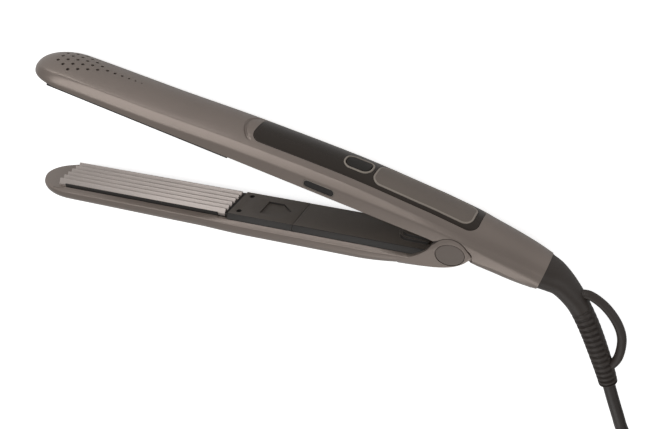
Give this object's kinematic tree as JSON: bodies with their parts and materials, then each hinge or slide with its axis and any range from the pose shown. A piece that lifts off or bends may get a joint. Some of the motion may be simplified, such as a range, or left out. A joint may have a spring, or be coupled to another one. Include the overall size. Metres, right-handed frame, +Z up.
{
  "type": "hair crimper",
  "caption": "Two-arm hair crimper with ridged heated plates, pewter-grey shells, a black control strip with a ringed button, a ribbed strain relief with hanging loop and a coiled lead.",
  "frame": {"origin": "where the hinge axis meets the surface that the crimper's flat side walls lie on", "axes": "+Z up along the hinge axis, +X along the upper arm towards its handle end, +Y towards the upper arm's top"},
  "size_m": [0.5069, 0.1289, 0.031],
  "materials": {
    "shell_lacquer": "satin pewter-grey metallic lacquer on moulded shells",
    "grey_plastic": "satin",
    "black_plastic": "satin heat-resistant moulding",
    "panel_black": "soft gloss",
    "plate_coating": "satin silver-rose ceramic coating",
    "heater_ceramic": "matt fired ceramic",
    "mica_sheet": "matt mineral sheet",
    "zinc_steel": "zinc-plated",
    "switch_black": "satin",
    "board_green": "solder-resist gloss",
    "lead_silicone": "matt silicone sleeve",
    "sleeve_rubber": "matt soft moulding",
    "lead_jacket": "satin flexible jacket",
    "tie_plastic": "matt",
    "plug_body": "fine matt texture",
    "pin_nickel": "nickel-plated brass, bright"
  },
  "bodies": {
    "casing": {"upper_shell": "shell_lacquer", "handle_cover": "shell_lacquer", "upper_inner_cover": "black_plastic", "upper_plate_carrier": "black_plastic", "upper_crimp_plate": "plate_coating", "upper_heater": "heater_ceramic", "upper_insulator": "mica_sheet", "upper_heater_clip": "zinc_steel", "upper_cover_screws": "zinc_steel", "control_panel": "panel_black", "panel_inlay": "grey_plastic", "button_bezel": "grey_plastic", "tact_switch": "switch_black", "circuit_board": "board_green", "side_insert_near": "black_plastic", "side_insert_far": "black_plastic", "thermal_fuse": "heater_ceramic", "inner_leads": "lead_silicone", "cord_clip": "zinc_steel", "handle_screws": "zinc_steel", "hinge_pin": "zinc_steel", "opening_spring": "zinc_steel", "strain_relief": "sleeve_rubber", "cord": "lead_jacket", "cord_coil": "lead_jacket", "cord_tie": "tie_plastic", "mains_plug": "plug_body", "plug_pins": "pin_nickel"},
    "button": {"power_button": "panel_black"},
    "lock": {"lock_slider": "black_plastic"},
    "jaw": {"lower_shell": "shell_lacquer", "lower_inner_cover": "black_plastic", "lower_plate_retainer": "black_plastic", "lower_plate_carrier": "black_plastic", "lower_crimp_plate": "plate_coating", "lower_heater": "heater_ceramic", "lower_insulator": "mica_sheet", "lower_heater_clip": "zinc_steel", "lower_cover_screws": "zinc_steel", "hinge_cap_near": "grey_plastic", "hinge_cap_far": "grey_plastic"}
  },
  "joints": [
    {"name": "jaw_hinge", "type": "hinge", "parent": "casing", "child": "jaw", "pos_m": [0, 0, 0.0155], "axis": [0, 0, 1], "range_deg": [-14.5, 0], "stiffness_Nm_per_rad": 0.3, "springref_deg": 17.19},
    {"name": "power_press", "type": "slide", "parent": "casing", "child": "button", "axis": [0, -1, 0], "range_m": [0, 0.0006], "stiffness_N_per_m": 900, "springref_m": -0.0003},
    {"name": "lock_slide", "type": "slide", "parent": "casing", "child": "lock", "axis": [-0.9884, 0.1518, 0], "range_m": [0, 0.005]}
  ]
}
